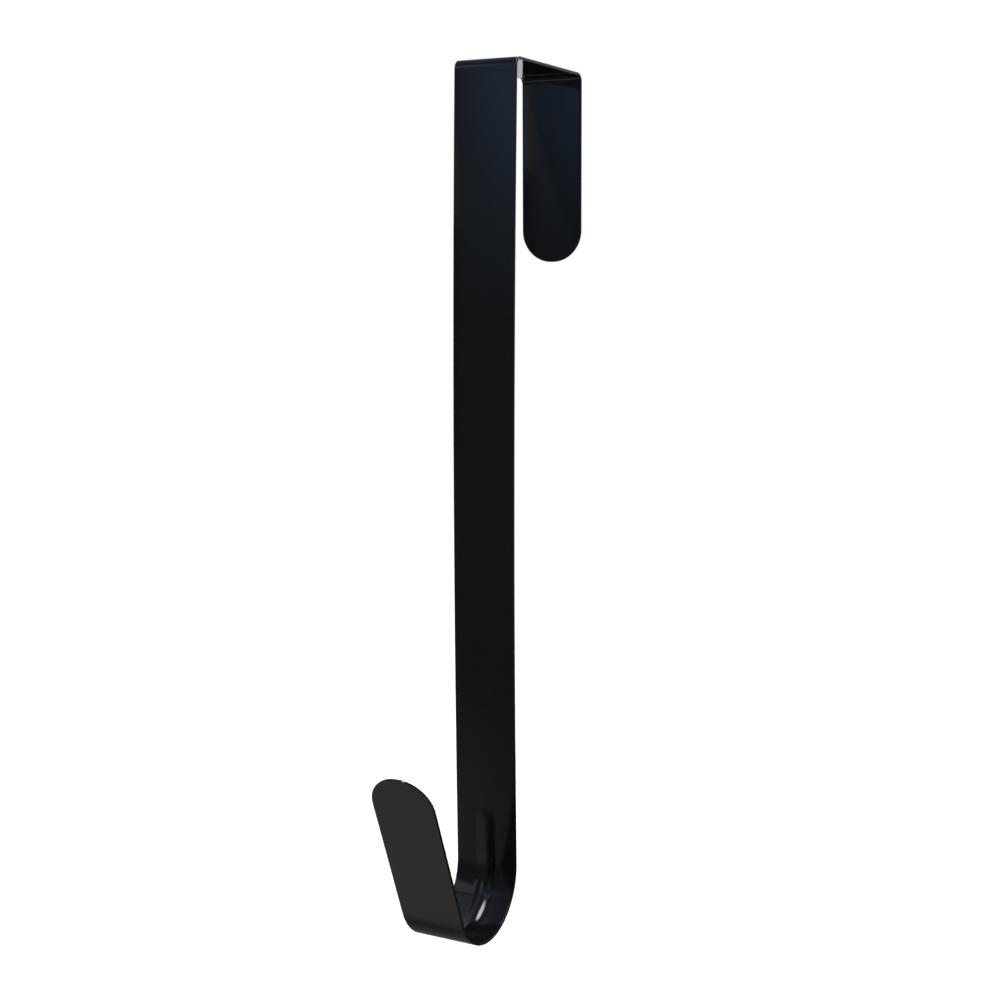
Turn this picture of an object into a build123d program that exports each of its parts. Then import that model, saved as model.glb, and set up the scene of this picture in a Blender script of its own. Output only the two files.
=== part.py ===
from build123d import *
import math
import os

# An over-the-door wreath hanger: one strip of painted steel, bent at its top to sit over a door
# and turned forward at its foot into a hook. Millimetres, Z up. The origin is the centre of the
# bridge's underside, the line the hanger hangs from. X runs across the strip, -Y is the side of
# the door that shows and +Y is behind it.

# The strip
strip_width = 24.0
strip_thickness = 1.0
tip_flat = 0.8  # straight left at each tip, between its two rounded corners
edge_rounding = 0.3  # sheared edge, softened by the paint over it
largest_edge_share = 0.45  # of the thickness, so that a flat always stays between two roundings

# The bridge over the door and its two bends
door_gap = 50.0  # clear distance between the two legs, just under the bends
door_bend_radius = 2.2  # inside the bend

# The back leg, which opens away from the door towards its tip
back_leg_length = 64.6
back_leg_lean = 1.1

# The long front leg, which leans forward a little, bows towards the front and ends straight
front_leg_length = 280.0
front_leg_lean = 1.0
front_leg_bow = 2.75  # turn from its top to its straight foot

# The hook
hook_inner_radius = 19.8
hook_lean = 22.6  # from upright, away from the front leg
hook_leg_length = 60.0

# The rib pressed along the middle of the strip where the front leg turns into the hook, which
# keeps the hook from opening. It stands up inside the hook and leaves a groove behind it.
rib_width = 6.0
rib_height = 0.3
rib_run_up_front_leg = 16.0
straight_above_rib = 10.0  # the leg's bow ends this far above, so that the rib lies on a flat
rib_turn = 80.0  # how far it follows the hook's bend
rib_foot_radius = 2.0  # where the rib's flanks run out into the flat of the strip

foot_length = rib_run_up_front_leg + straight_above_rib
bow_radius = (front_leg_length - foot_length) / math.radians(front_leg_bow)
tip_corner_radius = (strip_width - tip_flat) / 2

# The rib is the top of a round rod, whose centre line lies outside the strip.
rib_top_radius = (rib_width**2 / 4 + rib_height**2) / (2 * rib_height)
rod_depth = strip_thickness + rib_height - rib_top_radius


def side_lines(depth):
    """The strip's side view as one chain of lines, at a depth from the face that lies to the door."""
    bridge_half = door_gap / 2 - door_bend_radius
    bridge = Line((bridge_half, depth), (-bridge_half, depth))

    back_bend = JernArc(bridge @ 0, (1, 0), door_bend_radius + depth, back_leg_lean - 90)
    back_leg = PolarLine(back_bend @ 1, back_leg_length, direction=back_bend % 1)

    front_bend = JernArc(bridge @ 1, (-1, 0), door_bend_radius + depth, 90 - front_leg_lean)
    bowed_leg = JernArc(front_bend @ 1, front_bend % 1, bow_radius + depth, front_leg_bow)
    leg_foot = PolarLine(bowed_leg @ 1, foot_length, direction=bowed_leg % 1)

    # From pointing down, past level, to the hook's own lean from upright.
    hook_turn = 180 - front_leg_lean + front_leg_bow - hook_lean
    hook_radius = hook_inner_radius + strip_thickness - depth
    hook_bend = JernArc(leg_foot @ 1, leg_foot % 1, hook_radius, -hook_turn)
    hook_leg = PolarLine(hook_bend @ 1, hook_leg_length, direction=hook_bend % 1)
    return [back_leg, back_bend, bridge, front_bend, bowed_leg, leg_foot, hook_bend, hook_leg]


def band(near_depth, far_depth):
    """A strip that fills the side view between two depths, with square tips."""
    near = side_lines(near_depth)
    far = side_lines(far_depth)
    tips = [Line(near[0] @ 1, far[0] @ 1), Line(near[-1] @ 1, far[-1] @ 1)]
    side_view = make_face(near + far + tips)
    return extrude(Plane.YZ * side_view, strip_width / 2, both=True)


def rod_within(room, radius):
    """What lies within a room, of a round rod with ball ends that follows the rib."""
    leg_foot = side_lines(0)[-3]
    foot = Plane.YZ.from_local_coords(leg_foot @ 1)
    down = Plane.YZ.from_local_coords(leg_foot % 1)
    forward = down.cross(Vector(1, 0, 0))
    section = Plane(foot + rod_depth * forward, z_dir=down) * Circle(radius)

    above = extrude(section, -rib_run_up_front_leg)
    upper_end = section.center() - rib_run_up_front_leg * down

    hook_axis = Axis(foot + (strip_thickness + hook_inner_radius) * forward, (-1, 0, 0))
    around = revolve(section, hook_axis, rib_turn)
    lower_end = section.rotate(hook_axis, rib_turn).center()

    # The balls' poles point across the strip, so that they stay clear of its faces.
    ball = Rot(0, 90, 0) * Sphere(radius)
    pieces = [above, around, Pos(upper_end) * ball, Pos(lower_end) * ball]
    first, *others = [piece & room for piece in pieces]
    return first + others


strip = band(0, strip_thickness)

# The two tips are rounded to nearly a half circle. Their corners are the only edges that run
# through the thickness of the strip.
tip_corners = strip.edges().filter_by(lambda edge: math.isclose(edge.length, strip_thickness))
strip = fillet(tip_corners, tip_corner_radius)

# Each face's outline is smooth all the way round, so a rounding that starts at the bridge's
# side goes right round the strip.
bridge_edges = strip.edges().filter_by(Axis.Y).group_by(Axis.X)[-1]
strip = fillet(bridge_edges, min(edge_rounding, strip_thickness * largest_edge_share))

# The rib rises from inside the thickness of the strip, and its foot is blended into the flat.
above_rib = strip_thickness + 2 * rib_height
rib = rod_within(band(strip_thickness / 2, above_rib), rib_top_radius)
ribbed = strip + rib
rib_foot = new_edges(strip, rib, combined=ribbed)
ribbed = fillet(rib_foot, rib_foot_radius)

# The groove behind the rib keeps the same thickness of metal, in its lip too.
groove = rod_within(band(-strip_thickness, above_rib), rib_top_radius - strip_thickness)
hanger = ribbed - groove
groove_lip = new_edges(ribbed, groove, combined=hanger)
hanger = fillet(groove_lip, rib_foot_radius + strip_thickness)

box = hanger.bounding_box()
print(f"height {box.size.Z:.1f}, depth {box.size.Y:.1f}, width {box.size.X:.1f}")
print(f"faces {len(hanger.faces())}, volume {hanger.volume:.0f}, solids {len(hanger.solids())}")

os.makedirs("parts", exist_ok=True)
export_step(hanger, "parts/hanger_strip.step")
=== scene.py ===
from math import atan2, cos, degrees, hypot, pi, radians, sin

import bpy
from mathutils import Matrix, Vector


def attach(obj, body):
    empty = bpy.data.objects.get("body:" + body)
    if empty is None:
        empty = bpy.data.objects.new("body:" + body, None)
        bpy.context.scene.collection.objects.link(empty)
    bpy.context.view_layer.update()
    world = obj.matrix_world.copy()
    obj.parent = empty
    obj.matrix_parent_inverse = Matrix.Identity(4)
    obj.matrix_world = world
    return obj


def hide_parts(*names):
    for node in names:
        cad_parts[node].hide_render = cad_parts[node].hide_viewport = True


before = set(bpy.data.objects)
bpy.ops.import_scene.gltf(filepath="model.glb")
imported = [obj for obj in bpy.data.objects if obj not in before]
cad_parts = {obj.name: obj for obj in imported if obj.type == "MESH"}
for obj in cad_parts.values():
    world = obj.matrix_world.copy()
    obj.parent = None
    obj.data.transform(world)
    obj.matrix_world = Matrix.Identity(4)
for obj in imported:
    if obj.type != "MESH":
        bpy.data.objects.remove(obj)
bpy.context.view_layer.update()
print("frame loaded", sorted(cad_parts))

mm = 0.001


def toLinear(hexColour):
    channels = [int(hexColour[i:i + 2], 16) / 255 for i in (1, 3, 5)]
    return tuple(c / 12.92 if c <= 0.04045 else ((c + 0.055) / 1.055) ** 2.4 for c in channels) + (1.0,)


def addNode(tree, kind, settings=None, values=None, links=None):
    node = tree.nodes.new(kind)
    for name, value in (settings or {}).items():
        setattr(node, name, value)
    for socket, value in (values or {}).items():
        node.inputs[socket].default_value = value
    for socket, source in (links or {}).items():
        tree.links.new(source, node.inputs[socket])
    return node


def newMaterial(name):
    material = bpy.data.materials.new(name)
    material.use_nodes = True
    material.node_tree.nodes.clear()
    return material


# the strip, in millimetres and degrees
hanger = {
    "width": 24.0,
    "thickness": 1.0,
    "edgeRounding": 0.3,
    "doorGap": 50.0,
    "doorBendRadius": 2.2,
    "backLegLength": 64.6,
    "backLegLean": 1.1,
    "frontLegLength": 280.0,
    "frontLegLean": 1.0,
    "frontLegBow": 2.75,
    "straightFoot": 26.0,      # the bottom of the front leg, which carries the rib
    "hookRadius": 19.8,
    "hookLean": 22.6,
    "hookLegLength": 60.0,
    "tipPiece": 13.0,          # left flat and whole at each end, for its two corners
    "tipCorner": 11.6,
    "ribHeight": 0.3,
    "ribFoot": 4.0,            # from the rib's crest to where it has run out into the flat
    "ribUpFrontLeg": 16.0,
    "ribTurn": 80.0,           # how far it follows the hook's bend
}

# how finely each stretch of the strip is divided
rows = {
    "across": 60,
    "bridge": 3,
    "doorBend": 24,
    "backLeg": 8,
    "bowedLeg": 64,
    "straightFoot": 60,
    "hookBend": 128,
    "hookLeg": 12,
    "tipCorner": 28,
    "edgeRounding": 4,
}
halfColumn = hanger["width"] / rows["across"] / 2


def selectWhere(piece, kind, wanted):
    bpy.ops.object.mode_set(mode="EDIT")
    bpy.ops.mesh.select_mode(type=kind)
    bpy.ops.mesh.select_all(action="DESELECT")
    bpy.ops.object.mode_set(mode="OBJECT")
    mesh = piece.data
    items = {"VERT": mesh.vertices, "EDGE": mesh.edges, "FACE": mesh.polygons}[kind]
    for item in items:
        item.select = wanted(item)
    bpy.ops.object.mode_set(mode="EDIT")


def applyModifier(piece, kind, settings):
    modifier = piece.modifiers.new(kind.title(), kind)
    for name, value in settings.items():
        setattr(modifier, name, value)
    bpy.ops.object.modifier_apply(modifier=modifier.name)


# true where a point of the mesh lies at a place in the side view, given in mm
def isAt(point, y, z):
    return hypot(point.y / mm - y, point.z / mm - z) < 0.1


# where the fed end of the strip is: its place (y, z) in mm and the way it points, in degrees
class FedEnd:
    def __init__(self, y, z, heading):
        self.y, self.z, self.heading = y, z, heading

    def run(self, length, steps):
        dy = length / steps * cos(radians(self.heading))
        dz = length / steps * sin(radians(self.heading))
        for step in range(steps):
            bpy.ops.mesh.extrude_region_move(TRANSFORM_OT_translate={"value": (0, dy * mm, dz * mm)})
        self.y += dy * steps
        self.z += dz * steps

    # side is 1 for a bend to the left of the way it points, and -1 for one to the right
    def bendCentre(self, radius, side):
        toCentre = radians(self.heading + 90 * side)
        return self.y + radius * cos(toCentre), self.z + radius * sin(toCentre)

    def bend(self, radius, turn, steps):
        side = 1 if turn > 0 else -1
        cy, cz = self.bendCentre(radius, side)
        # spin turns against the right-hand rule, so the axis is the other way round
        bpy.ops.mesh.spin(steps=steps, angle=radians(abs(turn)), center=(0, cy * mm, cz * mm),
                          axis=(-side, 0, 0))
        self.heading += turn
        fromCentre = radians(self.heading - 90 * side)
        self.y, self.z = cy + radius * cos(fromCentre), cz + radius * sin(fromCentre)


def selectEnd(strip, end):
    points = strip.data.vertices
    selectWhere(strip, "EDGE", lambda edge: all(isAt(points[i].co, end.y, end.z) for i in edge.vertices))


def roundTip(strip, end):
    # the tip is made one flat face, so that its two corners can be cut round
    startY, startZ = end.y, end.z
    end.run(hanger["tipPiece"], 1)
    middleY, middleZ = (startY + end.y) / 2, (startZ + end.z) / 2
    selectWhere(strip, "FACE", lambda face: isAt(face.center, middleY, middleZ))
    bpy.ops.mesh.dissolve_faces(use_verts=True)
    nearEdge = (hanger["width"] / 2 - halfColumn) * mm
    selectWhere(strip, "VERT", lambda v: isAt(v.co, end.y, end.z) and abs(v.co.x) > nearEdge)
    bpy.ops.mesh.bevel(affect="VERTICES", offset=hanger["tipCorner"] * mm, offset_type="OFFSET",
                       segments=rows["tipCorner"], profile=0.5)
    bpy.ops.object.mode_set(mode="OBJECT")


def feedStrip():
    h = hanger
    bridgeHalf = h["doorGap"] / 2 - h["doorBendRadius"]
    bpy.ops.object.select_all(action="DESELECT")
    bpy.ops.mesh.primitive_grid_add(x_subdivisions=rows["across"], y_subdivisions=rows["bridge"],
                                    size=2 * bridgeHalf * mm)
    strip = bpy.context.object
    strip.name = "coatedStrip"
    strip.scale.x = h["width"] / (2 * bridgeHalf)
    bpy.ops.object.transform_apply(location=True, rotation=True, scale=True)

    # over the door to the back, down the back leg
    end = FedEnd(bridgeHalf, 0, 0)
    selectEnd(strip, end)
    end.bend(h["doorBendRadius"], h["backLegLean"] - 90, rows["doorBend"])
    end.run(h["backLegLength"] - h["tipPiece"], rows["backLeg"])
    roundTip(strip, end)

    # over the door to the front, and down the long leg with its slight bow
    end = FedEnd(-bridgeHalf, 0, 180)
    selectEnd(strip, end)
    end.bend(h["doorBendRadius"], 90 - h["frontLegLean"], rows["doorBend"])
    bowedLength = h["frontLegLength"] - h["straightFoot"]
    end.bend(bowedLength / radians(h["frontLegBow"]), h["frontLegBow"], rows["bowedLeg"])
    end.run(h["straightFoot"], rows["straightFoot"])

    # round the hook, and up its leg
    foot = (end.y, end.z)
    outerRadius = h["hookRadius"] + h["thickness"]
    hookCentre = end.bendCentre(outerRadius, -1)
    hookTurn = 180 - h["frontLegLean"] + h["frontLegBow"] - h["hookLean"]
    end.bend(outerRadius, -hookTurn, rows["hookBend"])
    end.run(h["hookLegLength"] - h["tipPiece"], rows["hookLeg"])
    roundTip(strip, end)
    return strip, foot, hookCentre


# the rib is drawn up from the strip's middle line, with a soft foot all round it
def drawRib(strip, foot, hookCentre):
    def angleRoundHook(y, z):
        return degrees(atan2(z - hookCentre[1], y - hookCentre[0]))

    def onRib(v):
        y, z = v.co.y / mm, v.co.z / mm
        turned = angleRoundHook(*foot) - angleRoundHook(y, z)
        if abs(v.co.x) > halfColumn * mm:
            return False
        if turned > 0:
            return turned <= hanger["ribTurn"]
        return hypot(y - foot[0], z - foot[1]) <= hanger["ribUpFrontLeg"]

    selectWhere(strip, "VERT", onRib)
    bpy.ops.transform.shrink_fatten(value=hanger["ribHeight"] * mm, use_proportional_edit=True,
                                    proportional_edit_falloff="SMOOTH",
                                    proportional_size=hanger["ribFoot"] * mm)
    bpy.ops.object.mode_set(mode="OBJECT")


# the thickness goes on last, with the sheared edges softened by the paint over them
def thicken(strip):
    applyModifier(strip, "SOLIDIFY", {"thickness": hanger["thickness"] * mm, "offset": 1.0,
                                      "use_even_offset": True})
    applyModifier(strip, "BEVEL", {"width": hanger["edgeRounding"] * mm, "segments": rows["edgeRounding"],
                                   "limit_method": "ANGLE", "angle_limit": radians(50),
                                   "use_clamp_overlap": True})
    bpy.ops.object.shade_smooth()
    applyModifier(strip, "WEIGHTED_NORMAL", {"mode": "FACE_AREA_WITH_ANGLE", "weight": 50,
                                             "keep_sharp": False})


strip, foot, hookCentre = feedStrip()
print("strip fed out and bent", len(strip.data.polygons), "faces")
drawRib(strip, foot, hookCentre)
print("rib drawn up")
thicken(strip)
print("strip finished", len(strip.data.polygons), "faces")

# black powder coat on steel strip: baked on, so it flows out glossy with a faint orange peel
powderCoat = {
    "colour": "#111112",
    "roughness": 0.07,
    "ior": 1.5,
    "specular": 0.165,
    "peelSize": 1.6,           # mm across one dimple
    "peelDepth": 0.0008,       # mm
}


def makePowderCoat():
    c = powderCoat
    material = newMaterial("glossBlackPowderCoat")
    tree = material.node_tree
    place = addNode(tree, "ShaderNodeTexCoord")
    peel = addNode(tree, "ShaderNodeTexNoise", values={"Scale": 1 / (c["peelSize"] * mm), "Detail": 1.0},
                   links={"Vector": place.outputs["Object"]})
    dimples = addNode(tree, "ShaderNodeBump", values={"Strength": 1.0, "Distance": c["peelDepth"] * mm},
                      links={"Height": peel.outputs["Fac"]})
    paint = addNode(tree, "ShaderNodeBsdfPrincipled",
                    values={"Base Color": toLinear(c["colour"]), "Roughness": c["roughness"],
                            "IOR": c["ior"], "Specular IOR Level": c["specular"]},
                    links={"Normal": dimples.outputs["Normal"]})
    addNode(tree, "ShaderNodeOutputMaterial", links={"Surface": paint.outputs["BSDF"]})
    return material


strip.data.materials.append(makePowderCoat())
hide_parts("hanger_strip")
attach(strip, "root")
print("strip painted")

# studio, in metres: a pale floor under the hanging hook and a white surround
studio = {
    "floorHeight": -0.47,
    "floorRadius": 3.0,
    "floorColour": "#e6e6e6",
    "liftNear": 0.37,          # brings the floor up to the white of the surround,
    "liftFar": 0.88,           # more so where the softbox's light falls off
    "liftReach": (0.2, 1.6),
    "fillStrength": 0.2,
}
hangerMiddle = -0.04           # along Y
frontLegPlace = -0.024         # along Y
hookPlace = (-0.043, -0.283)   # the middle of the hook's bend, along Y and Z


# 1 for the rays that show what stands behind the object, straight on or mirrored in its gloss
def backgroundRays(tree):
    path = addNode(tree, "ShaderNodeLightPath")
    seen = addNode(tree, "ShaderNodeMath", {"operation": "MAXIMUM"},
                   links={0: path.outputs["Is Camera Ray"], 1: path.outputs["Is Glossy Ray"]})
    return addNode(tree, "ShaderNodeMath", {"operation": "MAXIMUM"},
                   links={0: seen.outputs[0], 1: path.outputs["Is Transmission Ray"]}).outputs[0]


def makeFloor():
    s = studio
    material = newMaterial("paleFloor")
    tree = material.node_tree
    matt = addNode(tree, "ShaderNodeBsdfDiffuse", values={"Color": toLinear(s["floorColour"])})
    place = addNode(tree, "ShaderNodeTexCoord")
    far = addNode(tree, "ShaderNodeVectorMath", {"operation": "LENGTH"}, links={0: place.outputs["Object"]})
    strength = addNode(tree, "ShaderNodeMapRange",
                       values={"From Min": s["liftReach"][0], "From Max": s["liftReach"][1],
                               "To Min": s["liftNear"], "To Max": s["liftFar"]},
                       links={"Value": far.outputs["Value"]})
    lift = addNode(tree, "ShaderNodeEmission", links={"Strength": strength.outputs[0]})
    liftSeen = addNode(tree, "ShaderNodeMixShader", links={0: backgroundRays(tree), 2: lift.outputs[0]})
    both = addNode(tree, "ShaderNodeAddShader", links={0: matt.outputs[0], 1: liftSeen.outputs[0]})
    addNode(tree, "ShaderNodeOutputMaterial", links={"Surface": both.outputs[0]})
    bpy.ops.object.select_all(action="DESELECT")
    bpy.ops.mesh.primitive_circle_add(vertices=96, radius=s["floorRadius"], fill_type="NGON",
                                      location=(0, hangerMiddle, s["floorHeight"]))
    floor = bpy.context.object
    floor.name = "paleFloor"
    floor.data.materials.append(material)


def makeSurround():
    world = bpy.data.worlds.new("whiteSurround")
    bpy.context.scene.world = world
    world.use_nodes = True
    tree = world.node_tree
    tree.nodes.clear()
    fill = addNode(tree, "ShaderNodeBackground", values={"Strength": studio["fillStrength"]})
    white = addNode(tree, "ShaderNodeBackground", values={"Color": (1, 1, 1, 1), "Strength": 1.0})
    choice = addNode(tree, "ShaderNodeMixShader",
                     links={0: backgroundRays(tree), 1: fill.outputs[0], 2: white.outputs[0]})
    addNode(tree, "ShaderNodeOutputWorld", links={"Surface": choice.outputs[0]})


# the panels show only as reflections: they light nothing and the camera doesn't see them
def onlyInGloss(panel, material):
    panel.data.materials.append(material)
    panel.visible_camera = False
    panel.visible_diffuse = False
    panel.visible_shadow = False


# light that changes softly along one axis of a panel
def addFade(tree, along, start, end, lightAtStart, lightAtEnd):
    return addNode(tree, "ShaderNodeMapRange", {"interpolation_type": "SMOOTHSTEP"},
                   {"From Min": start, "From Max": end, "To Min": lightAtStart, "To Max": lightAtEnd},
                   {"Value": along}).outputs[0]


# the dim wall in front of the hanger, with a cool pool of light high up and a plain one low
# down on its left. Places are metres left of its middle, and above the bridge. Each fade is
# where the light is still nothing and where it is full.
dimWall = {
    "distance": 0.42,
    "direction": -28,          # 0 towards -Y, growing towards +X
    "lowPart": (-0.45, 0.75, -0.469, -0.18),    # right, left, bottom, top
    "highPart": (-0.45, 0.021, -0.18, 0.13),
    "shade": (0.21, 0.25, 0.3),
    "coolPool": (0.5, 1.05, 1.9),
    "coolFades": (("X", 0.048, -0.024), ("X", -0.12, -0.05), ("Y", -0.11, 0.1)),
    "plainPool": (0.5, 0.5, 0.5),
    "plainFades": (("X", -0.035, 0.05), ("Y", -0.32, -0.43)),
}


def makeDimWall():
    w = dimWall
    material = newMaterial("dimWall")
    tree = material.node_tree
    place = addNode(tree, "ShaderNodeTexCoord")
    part = addNode(tree, "ShaderNodeSeparateXYZ", links={0: place.outputs["Object"]})
    shade = addNode(tree, "ShaderNodeEmission", values={"Color": (*w["shade"], 1)})

    def addPool(under, colour, fades):
        strength = None
        for axis, nothing, full in fades:
            fade = addFade(tree, part.outputs[axis], nothing, full, 0.0, 1.0)
            strength = fade if strength is None else addNode(
                tree, "ShaderNodeMath", {"operation": "MULTIPLY"}, links={0: strength, 1: fade}).outputs[0]
        pool = addNode(tree, "ShaderNodeEmission", values={"Color": (*colour, 1)},
                       links={"Strength": strength})
        return addNode(tree, "ShaderNodeAddShader", links={0: under.outputs[0], 1: pool.outputs[0]})

    cool = addPool(shade, w["coolPool"], w["coolFades"])
    plain = addPool(cool, w["plainPool"], w["plainFades"])
    addNode(tree, "ShaderNodeOutputMaterial", links={"Surface": plain.outputs[0]})

    turn = radians(w["direction"])
    away = Vector((sin(turn), -cos(turn), 0))
    for name in ("lowPart", "highPart"):
        right, left, bottom, top = w[name]
        bpy.ops.object.select_all(action="DESELECT")
        bpy.ops.mesh.primitive_plane_add(size=1, location=((left + right) / 2, (bottom + top) / 2, 0))
        wall = bpy.context.object
        wall.name = "dimWall." + name
        wall.scale = (left - right, top - bottom, 1)
        bpy.ops.object.transform_apply(location=True, rotation=True, scale=True)
        wall.rotation_euler = (-away).to_track_quat("Z", "Y").to_euler()
        wall.location = Vector((0, frontLegPlace, 0)) + away * w["distance"]
        onlyInGloss(wall, material)


# panels arched round the hook's bend: how far up they start and end, in degrees from straight
# ahead, their left and right sides in metres, and the light they give. A fade is where along Y
# that light starts and stops going down, and the share of it that is left.
arches = {
    "farWall": {"radius": 1.15, "up": (-9, 15), "sides": (-2.0, 0.42), "light": (0.05, 0.06, 0.09)},
    "darkSky": {"radius": 3.1, "up": (12, 54), "sides": (-5.4, 1.1), "light": (0.24, 0.28, 0.42)},
    "window": {"radius": 3.0, "up": (17, 48), "sides": (-2.2, -1.485), "light": (1.5, 1.83, 2.25)},
    "paleCeiling": {"radius": 1.1, "up": (51, 150), "sides": (-0.85, -0.545), "light": (0.95, 1.06, 1.25)},
    "blueCeiling": {"radius": 1.6, "up": (51, 150), "sides": (-0.793, -0.262), "light": (0.3, 0.36, 0.68)},
    "blueCeilingLeft": {"radius": 1.1, "up": (51, 150), "sides": (-1.9, -0.85), "light": (0.3, 0.36, 0.68)},
    "warmBelow": {"radius": 0.18, "up": (-177, -36), "sides": (-0.32, -0.02), "light": (0.94, 0.91, 0.84),
                  "fade": (-0.145, -0.06, 0.2)},
    "darkRight": {"radius": 0.18, "up": (-177, -15), "sides": (-0.02, 0.6), "light": (0.1, 0.1, 0.1)},
}


def makeGlow(name, light, fade):
    material = newMaterial(name)
    tree = material.node_tree
    glow = addNode(tree, "ShaderNodeEmission", values={"Color": (*light, 1), "Strength": 1.0})
    if fade:
        start, end, shareLeft = fade
        place = addNode(tree, "ShaderNodeTexCoord")
        part = addNode(tree, "ShaderNodeSeparateXYZ", links={0: place.outputs["Object"]})
        strength = addFade(tree, part.outputs["Y"], start, end, 1.0, shareLeft)
        tree.links.new(strength, glow.inputs["Strength"])
    addNode(tree, "ShaderNodeOutputMaterial", links={"Surface": glow.outputs[0]})
    return material


def makeArch(name, radius, up, sides, light, fade=None):
    y, z = hookPlace
    bpy.ops.object.select_all(action="DESELECT")
    bpy.ops.mesh.primitive_cylinder_add(vertices=120, radius=radius, depth=sides[1] - sides[0],
                                        end_fill_type="NOTHING", location=(sum(sides) / 2, y, z),
                                        rotation=(0, pi / 2, 0))
    arch = bpy.context.object
    arch.name = name
    bpy.ops.object.transform_apply(location=True, rotation=True, scale=True)

    def outside(face):
        return not up[0] < degrees(atan2(face.center.z - z, y - face.center.y)) < up[1]

    selectWhere(arch, "FACE", outside)
    bpy.ops.mesh.delete(type="FACE")
    bpy.ops.object.mode_set(mode="OBJECT")
    onlyInGloss(arch, makeGlow(name, light, fade))


# the key: a long softbox above the hook and to its left, which draws the bright line along the rib
stripBox = {
    "place": (-0.26, -0.14, 0.72),
    "width": 0.085,
    "length": 1.95,
    "radiance": 34.0,
}


def makeStripBox():
    s = stripBox
    bpy.ops.object.light_add(type="AREA", location=s["place"])
    lamp = bpy.context.object
    lamp.name = "stripBox"
    lamp.data.shape = "RECTANGLE"
    lamp.data.size = s["width"]
    lamp.data.size_y = s["length"]
    lamp.data.energy = s["radiance"] * pi * s["width"] * s["length"]
    lamp.visible_camera = False


makeFloor()
makeSurround()
makeDimWall()
for name, arch in arches.items():
    makeArch(name, **arch)
makeStripBox()
print("studio set")

# camera at the photograph's angle, in millimetres and degrees
view = {
    "place": (266.741, -517.581, -75.761),
    "yaw": 27.8891,
    "pitch": -7.5853,
    "roll": 0.2054,
    "lens": 57.8649,
    "sensor": 36,
    "clip": (10, 50000),
}


def makeCamera():
    data = bpy.data.cameras.new("photoView")
    camera = bpy.data.objects.new("photoView", data)
    bpy.context.scene.collection.objects.link(camera)
    yaw, pitch, roll = (radians(view[k]) for k in ("yaw", "pitch", "roll"))
    ahead = Vector((-sin(yaw) * cos(pitch), cos(yaw) * cos(pitch), sin(pitch)))
    right = ahead.cross(Vector((0, 0, 1))).normalized()
    up = right.cross(ahead)
    rightRolled = cos(roll) * right + sin(roll) * up
    upRolled = -sin(roll) * right + cos(roll) * up
    turn = Matrix((rightRolled, upRolled, -ahead)).transposed().to_4x4()
    camera.matrix_world = Matrix.Translation(Vector(view["place"]) * mm) @ turn
    data.lens = view["lens"]
    data.sensor_width = view["sensor"]
    data.sensor_fit = "HORIZONTAL"
    data.clip_start, data.clip_end = (distance * mm for distance in view["clip"])
    bpy.context.scene.camera = camera


makeCamera()
bpy.context.scene.view_settings.view_transform = "Standard"
print("camera set")
